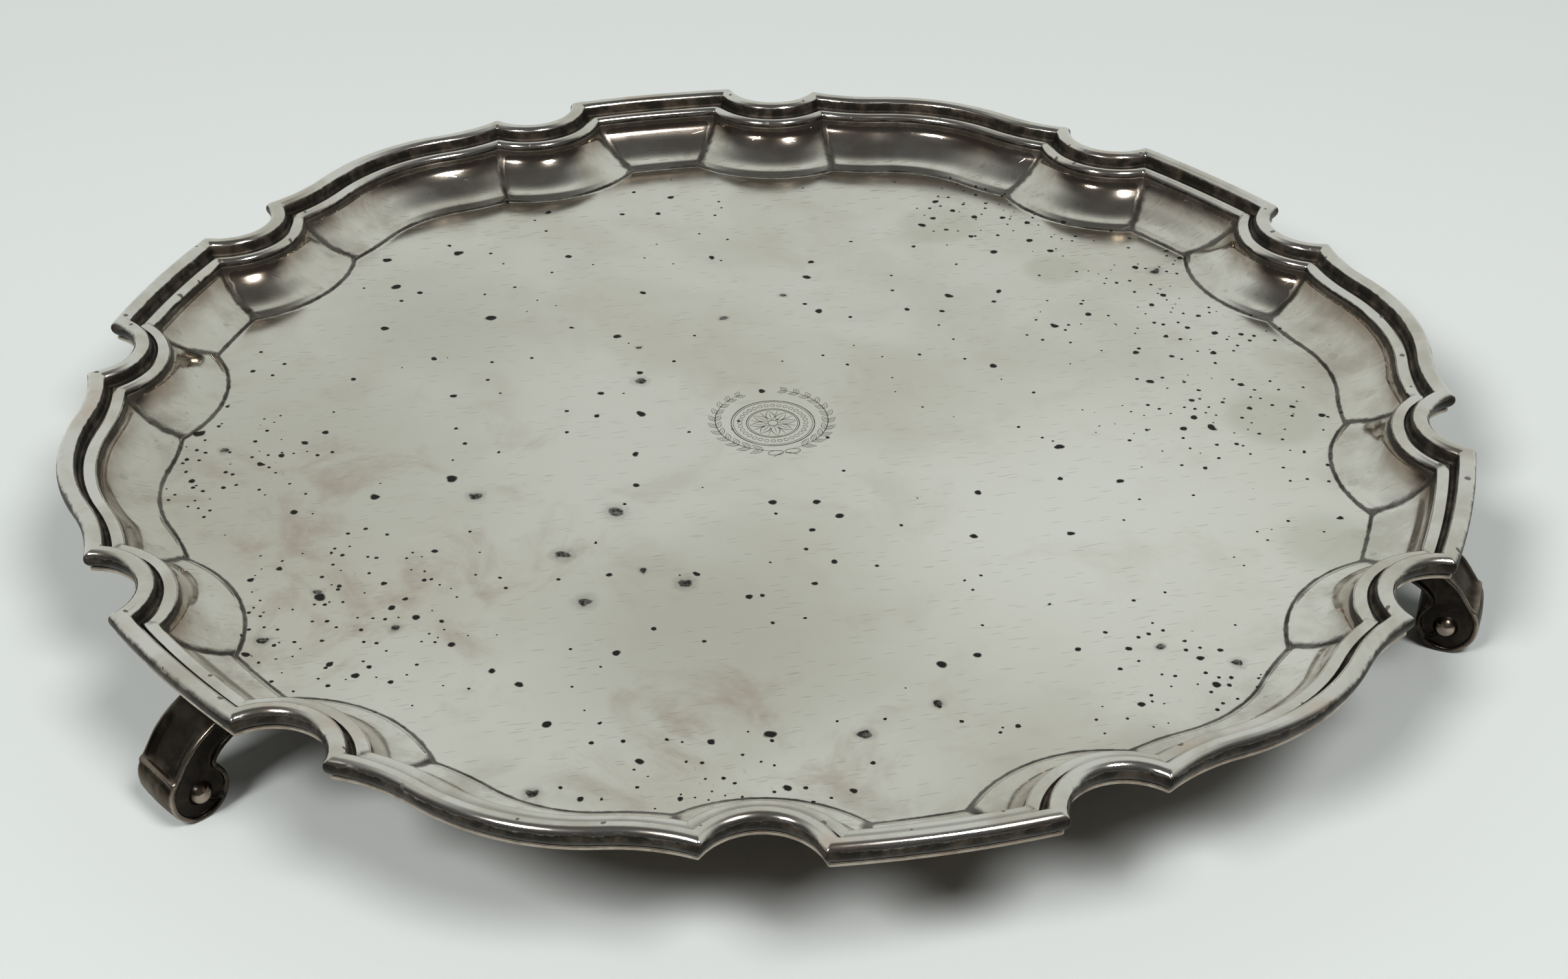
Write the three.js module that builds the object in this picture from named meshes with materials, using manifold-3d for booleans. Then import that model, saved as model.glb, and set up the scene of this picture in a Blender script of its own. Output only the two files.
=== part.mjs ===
// Silver salver: a flat round tray with a raised "pie-crust" rim, an applied moulding and three
// scroll feet. Units are millimetres, +Z is up. The origin is the centre of the flat serving
// surface, so the feet stand below Z = 0 and the rim rises above it. One straight edge of the
// rim faces -Y; the feet sit under the straights at -30, 90 and 210 degrees.
import * as THREE from "three";
import { mergeVertices } from "three/addons/utils/BufferGeometryUtils.js";
import Module from "manifold-3d";

const wasm = await Module();
wasm.setup();

// ---- plan outline of the tray's outer lip (one sixth, mirrored and repeated) ----
const SECTORS = 6;
const CORNER_A = [149.0, 21.0];       // straight / scallop corner, straight's axis along +X
const STRAIGHT_BOW = 1.0;             // how far a "straight" bows out at its middle
const CORNER_B_R = 148.8;             // scallop / bracket corner, polar from the centre
const CORNER_B_DEG = 13.5;            // its angle from the bracket's own axis
const SCALLOP_R = 12.0;               // radius of the notch arc between the two corners
const BRACKET_PEAK_R = 150.5;         // middle of the bracket
const BRACKET_CROWN_R = 49.8;         // convex middle arc of the bracket
const BRACKET_FLANK_R = 39.2;         // concave flare at each end of the bracket

// ---- section of the rim: [distance in from the lip, height above the serving surface] ----
const SHEET_TOP = [
  [18.7, 0], [17.3, 1.0], [13.4, 1.85], [10.7, 3.6], [8.7, 6.0], [7.5, 8.9], [0, 8.9],
];
const SHEET_UNDER = [
  [0, 8.0], [6.5, 8.0], [7.7, 5.5], [10.0, 2.6], [13.1, 0.8], [17.0, -0.1], [18.4, -1.1],
];
const MOULDING = [
  [0.3, 9.2], [7.1, 9.2], [7.05, 10.0], [6.5, 10.65], [5.6, 10.65], [4.9, 10.1], [4.1, 9.8],
  [3.15, 10.5], [2.95, 11.6], [2.3, 12.6], [1.2, 13.0], [0.0, 12.7], [-0.85, 11.6],
  [-0.85, 10.3], [-0.3, 9.5],
];
const JOINT_GAP = 0.2;                // between two lengths of the moulding

// ---- scroll feet ----
const FOOT_ANGLES = { foot_front_right: -30, foot_back: 90, foot_front_left: 210 };
const LEG_WIDTH = 12.6;
const PAD_WIDTH = 18;
const VOLUTE_CENTRE = [150.0, -14.6]; // radius from the tray's centre, height
const EYE_POCKET_R = 4.3;
const EYE_POCKET_DEPTH = 1.3;
const BALL_R = 2.2;
const LEG_OUTLINE = [
  [126.0, -2.2], [126.0, -1.4], [131.2, -1.4], [133.3, -0.5], [136.6, 0.3], [139.7, 2.0],
  [141.7, 4.6], [142.2, 2.4], [143.8, 0.9], [146.5, -0.5], [149.5, -2.3], [152.0, -4.9],
  [154.2, -8.0], [155.4, -8.9], [156.2, -9.4], [156.5, -10.6], [156.7, -13.0], [156.3, -15.6],
  [155.2, -17.9], [153.6, -19.8], [151.6, -20.8], [149.2, -20.8], [146.9, -19.8],
  [145.0, -17.9], [144.0, -15.4], [143.9, -13.0], [144.5, -11.0], [145.7, -9.4], [145.6, -8.3],
  [143.5, -6.1], [141.0, -4.5], [137.5, -3.5], [133.0, -3.0], [129.0, -2.6],
];
const PAD_OUTLINE = [
  [126.0, -2.6], [126.0, -1.4], [131.2, -1.4], [133.3, -0.5], [136.6, 0.3], [139.7, 2.0],
  [140.7, 0.6], [138.2, -1.2], [134.0, -2.6],
];

// ---- how finely the curves are divided ----
const SCALLOP_STEPS = 5;
const FLANK_STEPS = 2;
const CROWN_STEPS = 2;

// ---- finish ----
const SILVER = new THREE.MeshStandardMaterial({ color: 0xb9b6ac, roughness: 0.28, metalness: 1 });
const RIM_SILVER = new THREE.MeshStandardMaterial({ color: 0xaaa79e, roughness: 0.18, metalness: 1 });
const FOOT_SILVER = new THREE.MeshStandardMaterial({ color: 0x6f675c, roughness: 0.3, metalness: 1 });

const deg = (a) => (a * Math.PI) / 180;
const angleOf = (p, c) => Math.atan2(p[1] - c[1], p[0] - c[0]);

function turn(p, degrees) {
  const c = Math.cos(deg(degrees));
  const s = Math.sin(deg(degrees));
  return [p[0] * c - p[1] * s, p[0] * s + p[1] * c];
}

// Crossing of two circles, the one nearer to a given point.
function crossing(c0, r0, c1, r1, near) {
  const dx = c1[0] - c0[0];
  const dy = c1[1] - c0[1];
  const d = Math.hypot(dx, dy);
  const a = (r0 * r0 - r1 * r1 + d * d) / (2 * d);
  const h = Math.sqrt(Math.max(r0 * r0 - a * a, 0));
  const u = [dx / d, dy / d];
  const p = [c0[0] + a * u[0] - h * u[1], c0[1] + a * u[1] + h * u[0]];
  const q = [c0[0] + a * u[0] + h * u[1], c0[1] + a * u[1] - h * u[0]];
  const away = (v) => Math.hypot(v[0] - near[0], v[1] - near[1]);
  return away(p) < away(q) ? p : q;
}

// The four arcs of one half sector, in the frame whose +X is the middle of the straight.
function outlineArcs() {
  const a = CORNER_A;
  const b = turn(turn([CORNER_B_R, 0], -CORNER_B_DEG), 30);
  const straightR = (a[1] * a[1] + STRAIGHT_BOW * STRAIGHT_BOW) / (2 * STRAIGHT_BOW);
  const straight = { c: [a[0] + STRAIGHT_BOW - straightR, 0], r: straightR, grow: -1 };
  const chord = Math.hypot(b[0] - a[0], b[1] - a[1]);
  const out = [(b[1] - a[1]) / chord, (a[0] - b[0]) / chord];
  const rise = Math.sqrt(SCALLOP_R * SCALLOP_R - (chord * chord) / 4);
  const notch = [(a[0] + b[0]) / 2 + out[0] * rise, (a[1] + b[1]) / 2 + out[1] * rise];
  const scallop = { c: notch, r: SCALLOP_R, grow: 1 };
  const crown = { c: turn([BRACKET_PEAK_R - BRACKET_CROWN_R, 0], 30), r: BRACKET_CROWN_R, grow: -1 };
  const outside = turn([BRACKET_PEAK_R + 60, -30], 30);
  const reach = BRACKET_CROWN_R + BRACKET_FLANK_R;
  const flank = { c: crossing(crown.c, reach, b, BRACKET_FLANK_R, outside), r: BRACKET_FLANK_R, grow: 1 };
  return { a, b, straight, scallop, crown, flank };
}

const ARCS = outlineArcs();

function arcPoints(arc, inset, from, to, steps) {
  const r = arc.r + arc.grow * inset;
  let a0 = angleOf(from, arc.c);
  let a1 = angleOf(to, arc.c);
  if (a1 - a0 > Math.PI) a1 -= 2 * Math.PI;
  if (a0 - a1 > Math.PI) a1 += 2 * Math.PI;
  const points = [];
  for (let i = 1; i <= steps; i += 1) {
    const t = a0 + ((a1 - a0) * i) / steps;
    points.push([arc.c[0] + r * Math.cos(t), arc.c[1] + r * Math.sin(t)]);
  }
  return points;
}

// Half a sector of the outline moved inwards by `inset`, from the straight's middle to the
// bracket's middle; the corners stay mitred.
function halfSector(inset, startY) {
  const { straight, scallop, crown, flank } = ARCS;
  const straightR = straight.r - inset;
  const start = [straight.c[0] + Math.sqrt(straightR * straightR - startY * startY), startY];
  const a = crossing(straight.c, straightR, scallop.c, scallop.r + inset, ARCS.a);
  const b = crossing(scallop.c, scallop.r + inset, flank.c, flank.r + inset, ARCS.b);
  const toCrown = Math.atan2(flank.c[1] - crown.c[1], flank.c[0] - crown.c[0]);
  const crownR = crown.r - inset;
  const join = [crown.c[0] + crownR * Math.cos(toCrown), crown.c[1] + crownR * Math.sin(toCrown)];
  const peak = [crown.c[0] + crownR * Math.cos(deg(30)), crown.c[1] + crownR * Math.sin(deg(30))];
  return [
    start, a,
    ...arcPoints(scallop, inset, a, b, SCALLOP_STEPS),
    ...arcPoints(flank, inset, b, join, FLANK_STEPS),
    ...arcPoints(crown, inset, join, peak, CROWN_STEPS),
  ];
}

// A whole sector, from one straight's middle to the next one's, both ends included.
function sector(inset, startY) {
  const half = halfSector(inset, startY);
  const mirrored = half.slice(0, -1).reverse().map((p) => {
    const q = turn(p, -30);
    return turn([q[0], -q[1]], 30);
  });
  return [...half, ...mirrored];
}

function fullOutline(inset) {
  const points = [];
  for (let k = 0; k < SECTORS; k += 1) {
    const one = sector(inset, 0).slice(0, -1);
    points.push(...one.map((p) => turn(p, 60 * k - 90)));
  }
  return points;
}

// An indexed geometry whose faces point out, from a vertex list and triangles.
function solidGeometry(vertices, triangles) {
  let volume = 0;
  for (const [i, j, k] of triangles) {
    const a = vertices[i];
    const b = vertices[j];
    const c = vertices[k];
    volume += a[0] * (b[1] * c[2] - b[2] * c[1]);
    volume += a[1] * (b[2] * c[0] - b[0] * c[2]);
    volume += a[2] * (b[0] * c[1] - b[1] * c[0]);
  }
  const faces = volume < 0 ? triangles.map(([i, j, k]) => [i, k, j]) : triangles;
  const geometry = new THREE.BufferGeometry();
  geometry.setAttribute("position", new THREE.Float32BufferAttribute(vertices.flat(), 3));
  geometry.setIndex(faces.flat());
  return geometry;
}

// The tray sheet: rings of the outline at each station, closed by a flat disc top and bottom.
function trayGeometry() {
  const rings = [...SHEET_TOP, ...SHEET_UNDER].map(([inset, z]) => fullOutline(inset).map((p) => [...p, z]));
  const n = rings[0].length;
  const vertices = rings.flat();
  const triangles = [];
  for (let r = 0; r < rings.length - 1; r += 1) {
    for (let i = 0; i < n; i += 1) {
      const j = (i + 1) % n;
      triangles.push([r * n + i, r * n + j, (r + 1) * n + j]);
      triangles.push([r * n + i, (r + 1) * n + j, (r + 1) * n + i]);
    }
  }
  const top = vertices.length;
  vertices.push([0, 0, SHEET_TOP[0][1]]);
  vertices.push([0, 0, SHEET_UNDER[SHEET_UNDER.length - 1][1]]);
  const last = (rings.length - 1) * n;
  for (let i = 0; i < n; i += 1) {
    const j = (i + 1) % n;
    triangles.push([top, j, i]);
    triangles.push([top + 1, last + i, last + j]);
  }
  return solidGeometry(vertices, triangles);
}

// One length of the applied moulding, from the middle of one straight to the next.
function mouldingGeometry() {
  const columns = MOULDING.map(([inset, z]) => sector(inset, JOINT_GAP / 2).map((p) => [...p, z]));
  const n = columns[0].length;
  const m = columns.length;
  const vertices = columns.flat();
  const triangles = [];
  for (let r = 0; r < m; r += 1) {
    const s = (r + 1) % m;
    for (let i = 0; i < n - 1; i += 1) {
      triangles.push([r * n + i, s * n + i + 1, r * n + i + 1]);
      triangles.push([r * n + i, s * n + i, s * n + i + 1]);
    }
  }
  const face = MOULDING.map(([x, y]) => new THREE.Vector2(x, y));
  const cap = THREE.ShapeUtils.triangulateShape(face, []);
  const clockwise = THREE.ShapeUtils.isClockWise(face);
  for (const [i, j, k] of cap) {
    const near = [i * n, j * n, k * n];
    const far = [i * n + n - 1, k * n + n - 1, j * n + n - 1];
    triangles.push(clockwise ? near : [near[0], near[2], near[1]]);
    triangles.push(clockwise ? far : [far[0], far[2], far[1]]);
  }
  return solidGeometry(vertices, triangles);
}

function toSolid(geometry) {
  const bare = geometry.clone();
  bare.deleteAttribute("normal");
  bare.deleteAttribute("uv");
  const merged = mergeVertices(bare, 1e-4);
  return new wasm.Manifold(new wasm.Mesh({
    numProp: 3,
    vertProperties: new Float32Array(merged.attributes.position.array),
    triVerts: new Uint32Array(merged.index.array),
  }));
}

function fromSolid(solid) {
  const mesh = solid.getMesh();
  const geometry = new THREE.BufferGeometry();
  geometry.setAttribute("position", new THREE.Float32BufferAttribute(mesh.vertProperties, 3));
  geometry.setIndex(Array.from(mesh.triVerts));
  return geometry;
}

// A plate whose outline is drawn in radius and height, `width` thick, standing on its edge.
function uprightPlate(outline, width) {
  const shape = new THREE.Shape(outline.map(([x, y]) => new THREE.Vector2(x, y)));
  const geometry = new THREE.ExtrudeGeometry(shape, { depth: width, bevelEnabled: false });
  geometry.translate(0, 0, -width / 2);
  geometry.rotateX(Math.PI / 2);
  return geometry;
}

// The foot on the +X axis: leg and volute, spreading pad, dished eyes with a ball in each.
function footGeometry() {
  let foot = toSolid(uprightPlate(LEG_OUTLINE, LEG_WIDTH));
  foot = foot.add(toSolid(uprightPlate(PAD_OUTLINE, PAD_WIDTH)));
  for (const side of [-1, 1]) {
    const pocket = new THREE.CylinderGeometry(EYE_POCKET_R, EYE_POCKET_R, EYE_POCKET_DEPTH * 2, 18);
    pocket.translate(VOLUTE_CENTRE[0], (side * LEG_WIDTH) / 2, VOLUTE_CENTRE[1]);
    foot = foot.subtract(toSolid(pocket));
    const ball = new THREE.SphereGeometry(BALL_R, 12, 8);
    ball.translate(VOLUTE_CENTRE[0], side * (LEG_WIDTH / 2 - EYE_POCKET_DEPTH), VOLUTE_CENTRE[1]);
    foot = foot.add(toSolid(ball));
  }
  return fromSolid(foot);
}

function named(name, geometry, material) {
  geometry.computeVertexNormals();
  const mesh = new THREE.Mesh(geometry, material);
  mesh.name = name;
  return mesh;
}

function mouldingSet() {
  const group = new THREE.Group();
  for (let k = 0; k < SECTORS; k += 1) {
    const length = named(`moulding_${k + 1}`, mouldingGeometry(), RIM_SILVER);
    length.rotation.z = deg(60 * k - 90);
    group.add(length);
  }
  return group;
}

function footSet() {
  const group = new THREE.Group();
  for (const [name, angle] of Object.entries(FOOT_ANGLES)) {
    const foot = named(name, footGeometry(), FOOT_SILVER);
    foot.rotation.z = deg(angle);
    group.add(foot);
  }
  return group;
}

const salver = new THREE.Group();
salver.add(named("tray_sheet", trayGeometry(), SILVER));
salver.add(mouldingSet());
salver.add(footSet());

export default salver;
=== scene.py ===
# Silver salver on three scroll feet: the looks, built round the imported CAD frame.
# Shapes are worked out in millimetres in the part's frame, and make_object turns them into metres.
# The camera, the lamps and the floor are placed in metres.
import math

import bpy
import numpy as np
from mathutils import Matrix, Vector, noise


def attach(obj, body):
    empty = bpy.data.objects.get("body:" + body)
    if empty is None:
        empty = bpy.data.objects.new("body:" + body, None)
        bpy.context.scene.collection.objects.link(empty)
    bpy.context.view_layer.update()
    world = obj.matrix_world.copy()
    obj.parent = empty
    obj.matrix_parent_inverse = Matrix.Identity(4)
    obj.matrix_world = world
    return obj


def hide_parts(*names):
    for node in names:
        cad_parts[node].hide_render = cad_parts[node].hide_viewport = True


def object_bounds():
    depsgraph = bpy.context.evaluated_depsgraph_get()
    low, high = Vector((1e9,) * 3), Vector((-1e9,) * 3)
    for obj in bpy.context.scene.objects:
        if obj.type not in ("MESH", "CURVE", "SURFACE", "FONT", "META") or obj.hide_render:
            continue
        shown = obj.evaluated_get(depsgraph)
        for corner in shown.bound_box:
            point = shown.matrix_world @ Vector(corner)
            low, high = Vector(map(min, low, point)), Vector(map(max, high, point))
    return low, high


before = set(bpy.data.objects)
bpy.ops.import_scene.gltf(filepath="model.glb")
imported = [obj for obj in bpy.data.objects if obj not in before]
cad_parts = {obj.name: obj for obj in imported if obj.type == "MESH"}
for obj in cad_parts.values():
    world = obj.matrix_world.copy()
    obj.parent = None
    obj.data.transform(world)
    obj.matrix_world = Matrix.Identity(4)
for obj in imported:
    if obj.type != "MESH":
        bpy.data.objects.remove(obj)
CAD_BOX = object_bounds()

MM = 0.001                              # metres in a millimetre
FLOOR_Z = CAD_BOX[0][2]

# ---- plan outline of the lip, as in the CAD part (a straight's axis is along +X) ----
LOBES = 6                               # straights, with a bracket between each two
SECTOR_DEG = 360 // LOBES
BRACKET_DEG = SECTOR_DEG // 2           # from a straight's axis to the next bracket's
FRONT_DEG = -90                         # the straight at the front
CORNER_A = np.array([149.0, 21.0])      # where a straight meets a notch
STRAIGHT_BOW = 1.0                      # how far a straight bows out in its middle
CORNER_B_R = 148.8                      # where a notch meets a bracket: how far out,
CORNER_B_DEG = 13.5                     # and how far round from the bracket's axis
SCALLOP_R = 12.0
BRACKET_PEAK_R = 150.5
CROWN_R = 49.8
FLANK_R = 39.2
MITRE_ROUND = 0.45                      # what a mitre's small fillet takes off each side
# how many points each arc of half a sector has
POINTS = {"straight": 8, "notch": 17, "flank": 9, "crown": 8}

# ---- rings of the flat ground and of its underside: shares of the way out from the middle ----
GROUND_RINGS = [0.05, 0.12, 0.2, 0.3, 0.4, 0.5, 0.6, 0.7, 0.79, 0.87, 0.93, 0.97]
UNDER_RINGS = [0.9, 0.7, 0.45, 0.2, 0.05]

# ---- section of the rim: distance in from the lip, height above the serving surface ----
COVE = [(20.6, 0.0), (19.9, 0.0), (19.2, 0.03), (18.7, 0.16), (18.2, 0.44), (17.75, 0.74),
        (17.35, 0.97), (16.9, 1.13), (16.3, 1.26), (15.4, 1.46), (14.4, 1.78), (13.4, 2.2),
        (12.4, 2.72), (11.4, 3.32), (10.5, 3.97), (9.7, 4.67), (9.0, 5.38), (8.4, 6.05),
        (7.97, 6.68), (7.67, 7.35), (7.47, 8.05), (7.3, 8.65), (7.0, 8.9)]
FLANGE = [(6.6, 8.92), (4.0, 8.9), (0.45, 8.88), (0.12, 8.82), (0.0, 8.65), (0.0, 8.2),
          (0.12, 8.03), (0.45, 7.98), (3.0, 8.0), (5.6, 8.0)]
UNDER = [(6.3, 7.85), (6.9, 7.1), (7.7, 5.5), (8.8, 3.9), (10.0, 2.6), (11.5, 1.55),
         (13.1, 0.8), (15.0, 0.25), (17.0, -0.1), (17.9, -0.55), (18.6, -0.95), (19.6, -1.1)]
MOULDING = [(0.5, 8.95), (0.1, 9.15), (-0.35, 9.55), (-0.75, 10.2), (-0.93, 10.95),
            (-0.83, 11.7), (-0.42, 12.4), (0.3, 12.88), (1.1, 13.0), (1.9, 12.85),
            (2.55, 12.4), (2.95, 11.75), (3.08, 11.0), (3.18, 10.4), (3.42, 9.95), (3.75, 9.8),
            (4.02, 9.92), (4.2, 10.18), (4.42, 10.33), (4.85, 10.42), (5.4, 10.5), (5.95, 10.48),
            (6.45, 10.28), (6.85, 9.9), (7.08, 9.45), (7.2, 9.1), (7.2, 8.95)]
MOULDING_BACK = [(5.0, 8.94), (3.0, 8.94), (1.5, 8.94)]
CREASE_INSET = 18.75                    # the dirty crease where the ground meets the cove
COVE_INSET = 18.2                       # the cove's look starts here
ROLL_TOP = 13.0

FOOT_ANGLES = {"foot_front_right": -30, "foot_back": 90, "foot_front_left": 210}


# ------------------------------------------------------------------ outline
def turned(p, degrees):
    """A point, or rows of points, turned about the salver's axis."""
    a = math.radians(degrees)
    c, s = math.cos(a), math.sin(a)
    return np.asarray(p) @ np.array([[c, s], [-s, c]])


def crossing(c0, r0, c1, r1, near):
    """Where two circles cross, at the one of the two places that is nearer to near."""
    d = np.linalg.norm(c1 - c0)
    a = (r0 * r0 - r1 * r1 + d * d) / (2 * d)
    h = math.sqrt(max(r0 * r0 - a * a, 0.0))
    u = (c1 - c0) / d
    v = np.array([-u[1], u[0]])
    both = [c0 + a * u + h * v, c0 + a * u - h * v]
    return min(both, key=lambda p: np.linalg.norm(p - near))


def outline_arcs():
    """Both corners of half a sector, and its arcs, each as a centre and a radius."""
    a = CORNER_A
    b = turned(turned([CORNER_B_R, 0.0], -CORNER_B_DEG), BRACKET_DEG)
    r = (a[1] ** 2 + STRAIGHT_BOW ** 2) / (2 * STRAIGHT_BOW)
    straight = (np.array([a[0] + STRAIGHT_BOW - r, 0.0]), r)
    chord = np.linalg.norm(b - a)
    out = np.array([b[1] - a[1], a[0] - b[0]]) / chord
    notch = (a + b) / 2 + out * math.sqrt(SCALLOP_R ** 2 - chord ** 2 / 4)
    crown = (turned([BRACKET_PEAK_R - CROWN_R, 0.0], BRACKET_DEG), CROWN_R)
    outside = turned([BRACKET_PEAK_R + 60, -30], BRACKET_DEG)
    flank = (crossing(crown[0], CROWN_R + FLANK_R, b, FLANK_R, outside), FLANK_R)
    return a, b, straight, (notch, SCALLOP_R), crown, flank


ARC = outline_arcs()


def arc(centre, r, p, q, params):
    """Points on a circle from near p to near q, at the given fractions of the way."""
    a0 = math.atan2(p[1] - centre[1], p[0] - centre[0])
    a1 = math.atan2(q[1] - centre[1], q[0] - centre[0])
    a1 -= 2 * math.pi * round((a1 - a0) / (2 * math.pi))
    t = a0 + (a1 - a0) * np.asarray(params)
    return np.stack([centre[0] + r * np.cos(t), centre[1] + r * np.sin(t)], 1)


def spaced(length, cut0, cut1, n):
    """Even fractions along an arc, which stop short of its two ends by cut0 and cut1."""
    lo, hi = cut0 / length, 1 - cut1 / length
    return lo + (hi - lo) * np.linspace(0, 1, n)


def rounded(p, corner, q):
    """Three points of a small fillet between p and q."""
    t = np.array([0.25, 0.5, 0.75])[:, None]
    return (1 - t) ** 2 * p + 2 * t * (1 - t) * corner + t ** 2 * q


def half_sector(inset):
    """Half a sector of the outline moved in by inset, and each point's distance to a mitre."""
    cut = MITRE_ROUND
    a0, b0, straight, scallop, crown, flank = ARC
    sr, nr, fr, cr = straight[1] - inset, scallop[1] + inset, flank[1] + inset, crown[1] - inset
    a = crossing(straight[0], sr, scallop[0], nr, a0)
    b = crossing(scallop[0], nr, flank[0], fr, b0)
    to_flank = flank[0] - crown[0]
    join = crown[0] + cr * to_flank / np.linalg.norm(to_flank)
    peak = crown[0] + cr * turned([1.0, 0.0], BRACKET_DEG)
    start = straight[0] + np.array([sr, 0.0])
    along = {"straight": spaced(np.linalg.norm(a - start), 0, cut, POINTS["straight"]),
             "notch": spaced(np.linalg.norm(b - a), cut, cut, POINTS["notch"]),
             "flank": spaced(np.linalg.norm(join - b), cut, 0, POINTS["flank"])}
    s = arc(straight[0], sr, start, a, along["straight"])
    n = arc(scallop[0], nr, a, b, along["notch"])
    f = arc(flank[0], fr, b, join, along["flank"])
    c = arc(crown[0], cr, join, peak, np.linspace(0, 1, POINTS["crown"]))[1:]
    pts = np.vstack([s, rounded(s[-1], a, n[0]), n, rounded(n[-1], b, f[0]), f, c])
    gap = np.minimum(np.linalg.norm(pts - a, axis=1), np.linalg.norm(pts - b, axis=1))
    return pts, gap


def sector(inset):
    """From one straight's middle to the next one's, both ends included."""
    pts, gap = half_sector(inset)
    back = turned(turned(pts[:-1][::-1], -BRACKET_DEG) * [1, -1], BRACKET_DEG)
    return np.vstack([pts, back]), np.concatenate([gap, gap[:-1][::-1]])


def full_outline(inset):
    """The whole outline moved in by inset, and each point's distance to a mitre."""
    pts, gap = sector(inset)
    rings = [turned(pts[:-1], SECTOR_DEG * k + FRONT_DEG) for k in range(LOBES)]
    return np.vstack(rings), np.tile(gap[:-1], LOBES)


def hand_made(xyz):
    """The slow waviness of hand work, a few tenths of a millimetre, the same for every piece."""
    wave = 46.0
    still_r, fade = 105.0, 30.0
    out = xyz.copy()
    for i, p in enumerate(xyz):
        q = Vector((p[0] / wave, p[1] / wave, 3.1))
        rim = min(max((math.hypot(p[0], p[1]) - still_r) / fade, 0.0), 1.0)
        out[i, 0] += 0.35 * rim * noise.noise(q)
        out[i, 1] += 0.35 * rim * noise.noise(q + Vector((9.0, 2.0, 5.0)))
        out[i, 2] += (0.05 + 0.2 * rim) * noise.noise(q * 0.8 + Vector((1.0, 7.0, 2.0)))
    return out


# ------------------------------------------------------------------ curves and meshes
def smooth_curve(points, per):
    """Catmull-Rom through the points, per steps between neighbours."""
    p = np.array([points[0], *points, points[-1]], float)
    out = []
    for i in range(1, len(p) - 2):
        for t in np.linspace(0, 1, per, endpoint=False):
            a = 2 * p[i]
            b = p[i + 1] - p[i - 1]
            c = 2 * p[i - 1] - 5 * p[i] + 4 * p[i + 1] - p[i + 2]
            d = -p[i - 1] + 3 * p[i] - 3 * p[i + 1] + p[i + 2]
            out.append(0.5 * (a + b * t + c * t * t + d * t ** 3))
    out.append(p[-2])
    return np.array(out)


def make_object(name, verts_mm, faces, attributes=None, smooth=True):
    mesh = bpy.data.meshes.new(name)
    mesh.from_pydata([tuple(v) for v in np.asarray(verts_mm) * MM], [], faces)
    for key, values in (attributes or {}).items():
        layer = mesh.attributes.new(key, "FLOAT", "POINT")
        layer.data.foreach_set("value", np.asarray(values, np.float32))
    mesh.polygons.foreach_set("use_smooth", [smooth] * len(mesh.polygons))
    mesh.validate()
    mesh.update()
    obj = bpy.data.objects.new(name, mesh)
    bpy.context.scene.collection.objects.link(obj)
    return obj


def grid_faces(rows, cols, close_rows=False, close_cols=False):
    faces = []
    for r in range(rows if close_rows else rows - 1):
        r2 = (r + 1) % rows
        for c in range(cols if close_cols else cols - 1):
            c2 = (c + 1) % cols
            faces.append((r * cols + c, r * cols + c2, r2 * cols + c2, r2 * cols + c))
    return faces


def bell(x, middle, width):
    return np.exp(-((np.asarray(x) - middle) / width) ** 2)


# ------------------------------------------------------------------ tray sheet
def tray_stations():
    return np.vstack([smooth_curve(COVE, 3), smooth_curve(FLANGE, 2)[1:], smooth_curve(UNDER, 2)])


def tray_masks(inset, z, gap, under):
    """Dirt with a little painted shade at the top of the cove, cove and underside along one ring of
    the sheet, each from 0 to 1.
    """
    in_cove = 7.3 < inset < 18.6 and z > 0.4 and not under
    mitre = 0.9 * bell(gap, 0.0, 0.9) * float(in_cove)
    crease = 0.9 * float(bell(inset, CREASE_INSET, 0.55)) * float(z > -0.05)
    # At the top of the cove: the dark seam under the bead, and painted shade on the wall just below
    # it.
    top = float(bell(inset, 7.2, 0.35)) + 0.3 * float(step01(z, 6.6, 8.4) * (inset < 8))
    n = len(gap)
    dirt = np.clip(mitre + crease + top, 0, 1)
    return np.array([dirt, np.full(n, float(inset < COVE_INSET)), np.full(n, float(under))])


def tray_rings():
    """Rings from the middle of the ground out over the flange and back in under the sheet."""
    stations = tray_stations()
    edge, _ = full_outline(stations[0][0])
    n, bottom = len(edge), stations[-1][1]
    rings = [np.column_stack([edge * share, np.zeros(n)]) for share in GROUND_RINGS]
    masks = [np.zeros((3, n)) for _ in rings]
    under = False
    for inset, z in stations:
        ring, gap = full_outline(inset)
        under = under or (inset < 3.5 and z < 8.02)
        rings.append(np.column_stack([ring, np.full(n, z)]))
        masks.append(tray_masks(inset, z, gap, under))
    for share in UNDER_RINGS:
        rings.append(np.column_stack([ring * share, np.full(n, bottom)]))
        masks.append(np.array([np.zeros(n), np.ones(n), np.ones(n)]))
    return rings, masks, bottom


def build_tray():
    rings, masks, bottom = tray_rings()
    n = len(rings[0])
    faces = [tuple(reversed(f)) for f in grid_faces(len(rings), n, close_cols=True)]
    last = (len(rings) - 1) * n
    top, low = last + n, last + n + 1
    faces += [(top, i, (i + 1) % n) for i in range(n)]
    faces += [(low, last + (i + 1) % n, last + i) for i in range(n)]
    verts = np.vstack([*rings, [[0, 0, 0], [0, 0, bottom]]])
    dirt, cove, below = np.hstack([*masks, [[0, 0], [0, 1], [0, 1]]])
    attributes = {"grime": dirt, "cove": cove, "below": below}
    return make_object("salver_tray", hand_made(verts), faces, attributes)


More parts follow.
